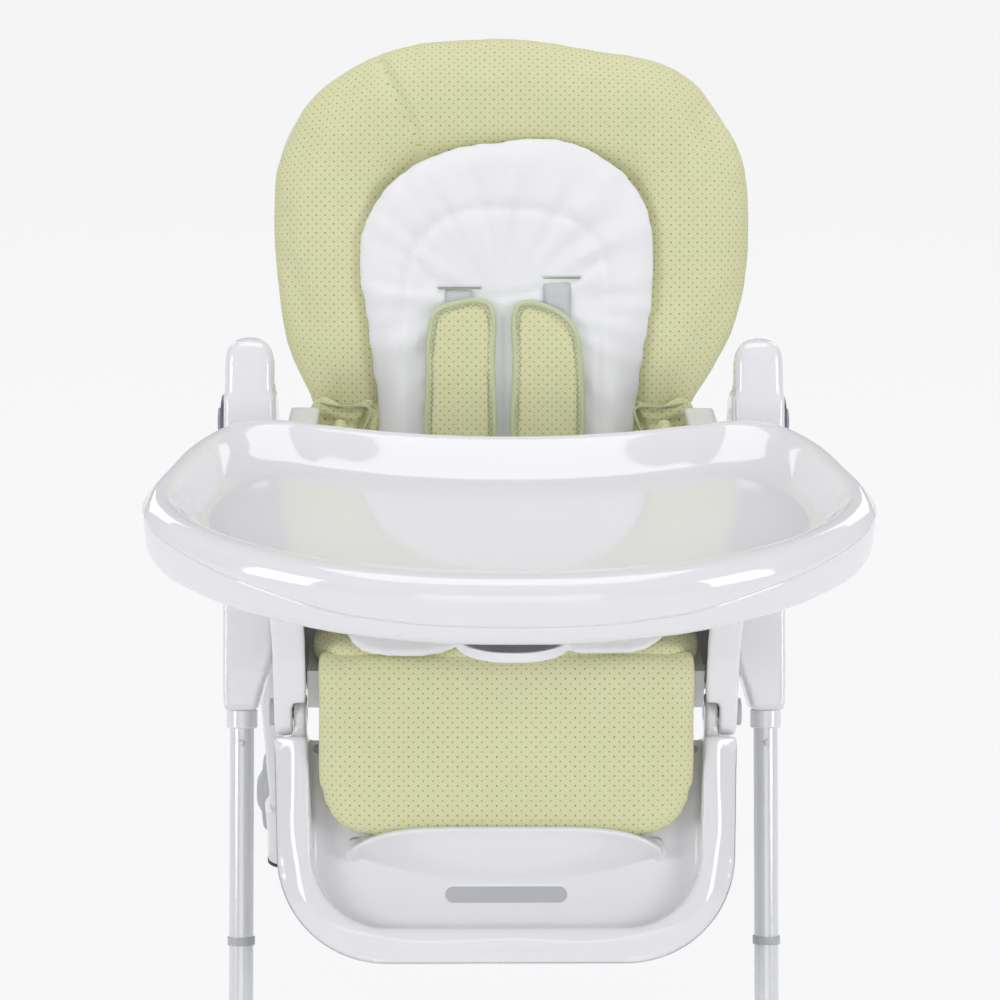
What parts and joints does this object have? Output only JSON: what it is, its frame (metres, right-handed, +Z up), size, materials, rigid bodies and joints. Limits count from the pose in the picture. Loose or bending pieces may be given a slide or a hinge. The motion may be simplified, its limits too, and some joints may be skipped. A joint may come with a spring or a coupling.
{
  "type": "baby high chair",
  "caption": "Folding baby high chair with a height slide, reclining padded back, swinging footrest, harness and sliding tray with a removable top.",
  "frame": {"origin": "on the floor, in the middle of the chair's outer box", "axes": "+Z up, the child faces -Y, X across the chair"},
  "size_m": [0.594, 0.9011, 0.9474],
  "materials": {
    "white_plastic": "gloss",
    "grey_plastic": "satin",
    "dark_plastic": "satin",
    "painted_tube": "gloss",
    "steel": "brushed",
    "green_fabric": "matte dotted",
    "white_cotton": "matte",
    "webbing": "woven",
    "rubber": "matte"
  },
  "bodies": {
    "front_frame": {"front_leg_tube_left": "painted_tube", "front_leg_tube_right": "painted_tube", "front_base_tube": "painted_tube", "leg_ferrules": "grey_plastic", "leg_snap_buttons": "steel", "leg_housing_left": "white_plastic", "leg_housing_right": "white_plastic", "leg_collars": "white_plastic", "fold_pivot_pins": "steel", "fold_caps": "dark_plastic", "fold_lock_springs": "steel", "front_feet": "white_plastic", "front_foot_pads": "rubber"},
    "rear_frame": {"rear_leg_hub_left": "white_plastic", "rear_leg_hub_right": "white_plastic", "rear_leg_tube_left": "painted_tube", "rear_leg_tube_right": "painted_tube", "rear_cross_tube": "painted_tube", "rear_foot_left": "white_plastic", "rear_foot_right": "white_plastic", "rear_foot_soles": "rubber", "wheel_axles": "steel"},
    "wheel_left": {"wheel_left": "grey_plastic"},
    "wheel_right": {"wheel_right": "grey_plastic"},
    "fold_button_left": {"fold_button_left": "grey_plastic"},
    "fold_button_right": {"fold_button_right": "grey_plastic"},
    "seat": {"seat_side_left": "white_plastic", "seat_side_right": "white_plastic", "seat_pan": "white_plastic", "height_sliders": "white_plastic", "hinge_pins": "steel", "lock_springs": "steel", "seat_cushion": "green_fabric", "seat_bolster_left": "green_fabric", "seat_bolster_right": "green_fabric", "insert_seat_pad": "white_cotton", "crotch_strap": "webbing", "waist_straps": "webbing", "harness_buckle": "white_plastic"},
    "buckle_button": {"buckle_button": "grey_plastic"},
    "height_button_left": {"height_button_left": "grey_plastic"},
    "height_button_right": {"height_button_right": "grey_plastic"},
    "backrest": {"backrest_shell": "white_plastic", "back_cushion": "green_fabric", "insert_back_pad": "white_cotton", "shoulder_straps": "webbing", "shoulder_pad_left": "green_fabric", "shoulder_pad_right": "green_fabric"},
    "recline_handle": {"recline_handle": "grey_plastic"},
    "footrest": {"footrest_shell": "white_plastic", "footrest_inlay": "grey_plastic", "calf_pad": "green_fabric", "footrest_strap": "webbing"},
    "footrest_button_left": {"footrest_button_left": "grey_plastic"},
    "footrest_button_right": {"footrest_button_right": "grey_plastic"},
    "tray": {"tray_base": "white_plastic"},
    "tray_insert": {"tray_insert": "white_plastic"},
    "tray_lever": {"tray_lever": "white_plastic"},
    "tray_latch_left": {"tray_latch_left": "grey_plastic"},
    "tray_latch_right": {"tray_latch_right": "grey_plastic"}
  },
  "joints": [
    {"name": "frame_fold", "type": "hinge", "parent": "front_frame", "child": "rear_frame", "pos_m": [0, 0.041, 0.627], "axis": [-1, 0, 0], "range_deg": [0, 40]},
    {"name": "wheel_spin_left", "type": "hinge", "parent": "rear_frame", "child": "wheel_left", "pos_m": [-0.253, 0.41, 0.056], "axis": [1, 0, 0], "continuous": true},
    {"name": "wheel_spin_right", "type": "hinge", "parent": "rear_frame", "child": "wheel_right", "pos_m": [0.253, 0.41, 0.056], "axis": [1, 0, 0], "continuous": true},
    {"name": "fold_press_left", "type": "slide", "parent": "front_frame", "child": "fold_button_left", "axis": [1, 0, 0], "range_m": [0, 0.003], "stiffness_N_per_m": 300, "springref_m": -0.004},
    {"name": "fold_press_right", "type": "slide", "parent": "front_frame", "child": "fold_button_right", "axis": [-1, 0, 0], "range_m": [0, 0.003], "stiffness_N_per_m": 300, "springref_m": -0.004},
    {"name": "seat_height", "type": "slide", "parent": "front_frame", "child": "seat", "axis": [0, 0.3827, 0.9239], "range_m": [-0.095, 0.095]},
    {"name": "buckle_press", "type": "slide", "parent": "seat", "child": "buckle_button", "axis": [0, 1, 0], "range_m": [0, 0.002], "stiffness_N_per_m": 300, "springref_m": -0.004},
    {"name": "height_press_left", "type": "slide", "parent": "seat", "child": "height_button_left", "axis": [1, 0, 0], "range_m": [0, 0.003], "stiffness_N_per_m": 300, "springref_m": -0.004},
    {"name": "height_press_right", "type": "slide", "parent": "seat", "child": "height_button_right", "axis": [-1, 0, 0], "range_m": [0, 0.003], "stiffness_N_per_m": 300, "springref_m": -0.004},
    {"name": "backrest_recline", "type": "hinge", "parent": "seat", "child": "backrest", "pos_m": [0, 0.12, 0.455], "axis": [-1, 0, 0], "range_deg": [0, 40]},
    {"name": "recline_squeeze", "type": "slide", "parent": "backrest", "child": "recline_handle", "axis": [0, 0.309, 0.9511], "range_m": [0, 0.012], "stiffness_N_per_m": 400, "springref_m": -0.006},
    {"name": "footrest_tilt", "type": "hinge", "parent": "seat", "child": "footrest", "pos_m": [0, -0.152, 0.422], "axis": [-1, 0, 0], "range_deg": [-30, 50]},
    {"name": "footrest_press_left", "type": "slide", "parent": "seat", "child": "footrest_button_left", "axis": [1, 0, 0], "range_m": [0, 0.003], "stiffness_N_per_m": 300, "springref_m": -0.004},
    {"name": "footrest_press_right", "type": "slide", "parent": "seat", "child": "footrest_button_right", "axis": [-1, 0, 0], "range_m": [0, 0.003], "stiffness_N_per_m": 300, "springref_m": -0.004},
    {"name": "tray_slide", "type": "slide", "parent": "seat", "child": "tray", "axis": [0, 1, 0], "range_m": [-0.25, 0.02]},
    {"name": "tray_insert_lift", "type": "slide", "parent": "tray", "child": "tray_insert", "axis": [0, 0, 1], "range_m": [0, 0.12]},
    {"name": "tray_lever_pull", "type": "slide", "parent": "tray", "child": "tray_lever", "axis": [0, -1, 0], "range_m": [0, 0.01], "stiffness_N_per_m": 300, "springref_m": -0.004},
    {"name": "tray_latch_out_left", "type": "slide", "parent": "tray", "child": "tray_latch_left", "axis": [-1, 0, 0], "range_m": [0, 0.005]},
    {"name": "tray_latch_out_right", "type": "slide", "parent": "tray", "child": "tray_latch_right", "axis": [1, 0, 0], "range_m": [0, 0.005]}
  ],
  "couplings": [
    {"joint": "tray_latch_out_left", "follows": "tray_lever_pull", "ratio": 0.5},
    {"joint": "tray_latch_out_right", "follows": "tray_lever_pull", "ratio": 0.5}
  ]
}
